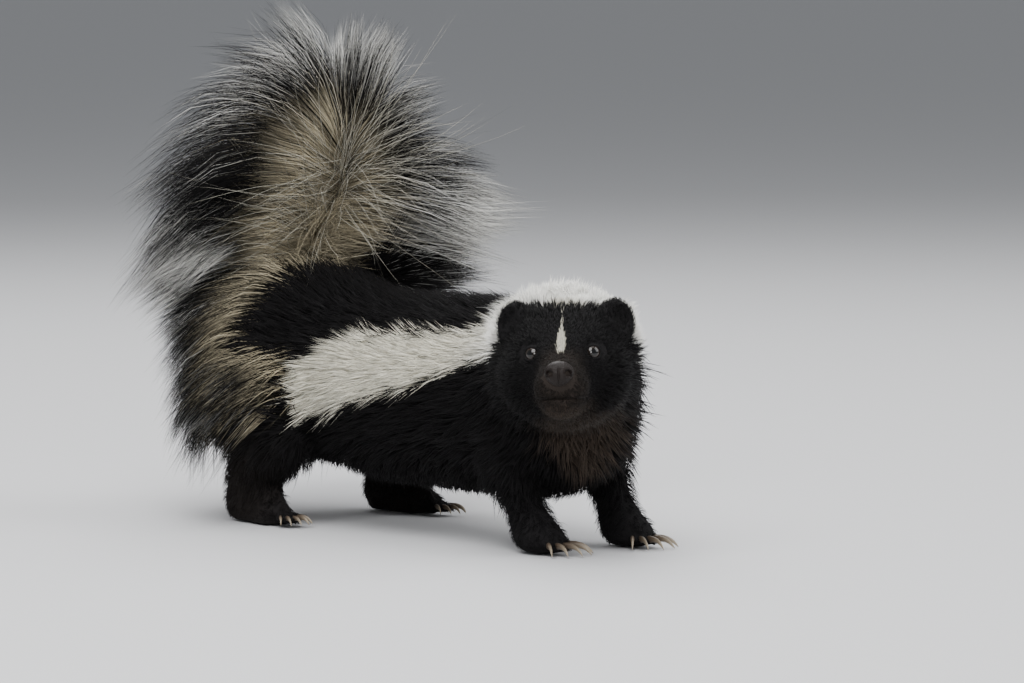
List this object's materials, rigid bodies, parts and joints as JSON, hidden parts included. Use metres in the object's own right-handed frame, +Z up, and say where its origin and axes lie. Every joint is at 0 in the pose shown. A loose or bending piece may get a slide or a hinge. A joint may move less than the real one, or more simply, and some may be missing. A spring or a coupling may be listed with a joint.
{
  "type": "striped skunk",
  "caption": "Life-size still model of a standing striped skunk, head turned to its right and bushy tail raised and spread.",
  "frame": {"origin": "middle of the whole outline's footprint, on the floor that the soles stand on", "axes": "+Y from the forequarters to the tail, so the animal faces -Y, with its left side towards +X; +Z up"},
  "size_m": [0.2706, 0.4922, 0.3035],
  "materials": {
    "black_coat": "dense short black fur",
    "tail_coat": "long coarse hair, tan at the root, black in the middle and pale at the tip",
    "nose_skin": "damp pebbled skin",
    "eye": "wet and glossy"
  },
  "bodies": {
    "root": {"torso": "black_coat", "neck": "black_coat", "head": "black_coat", "nose": "nose_skin", "eye_left": "eye", "ear_left": "black_coat", "foreleg_left": "black_coat", "forefoot_left": "black_coat", "hindleg_left": "black_coat", "hindfoot_left": "black_coat", "eye_right": "eye", "ear_right": "black_coat", "foreleg_right": "black_coat", "forefoot_right": "black_coat", "hindleg_right": "black_coat", "hindfoot_right": "black_coat", "tail": "tail_coat"}
  },
  "joints": []
}
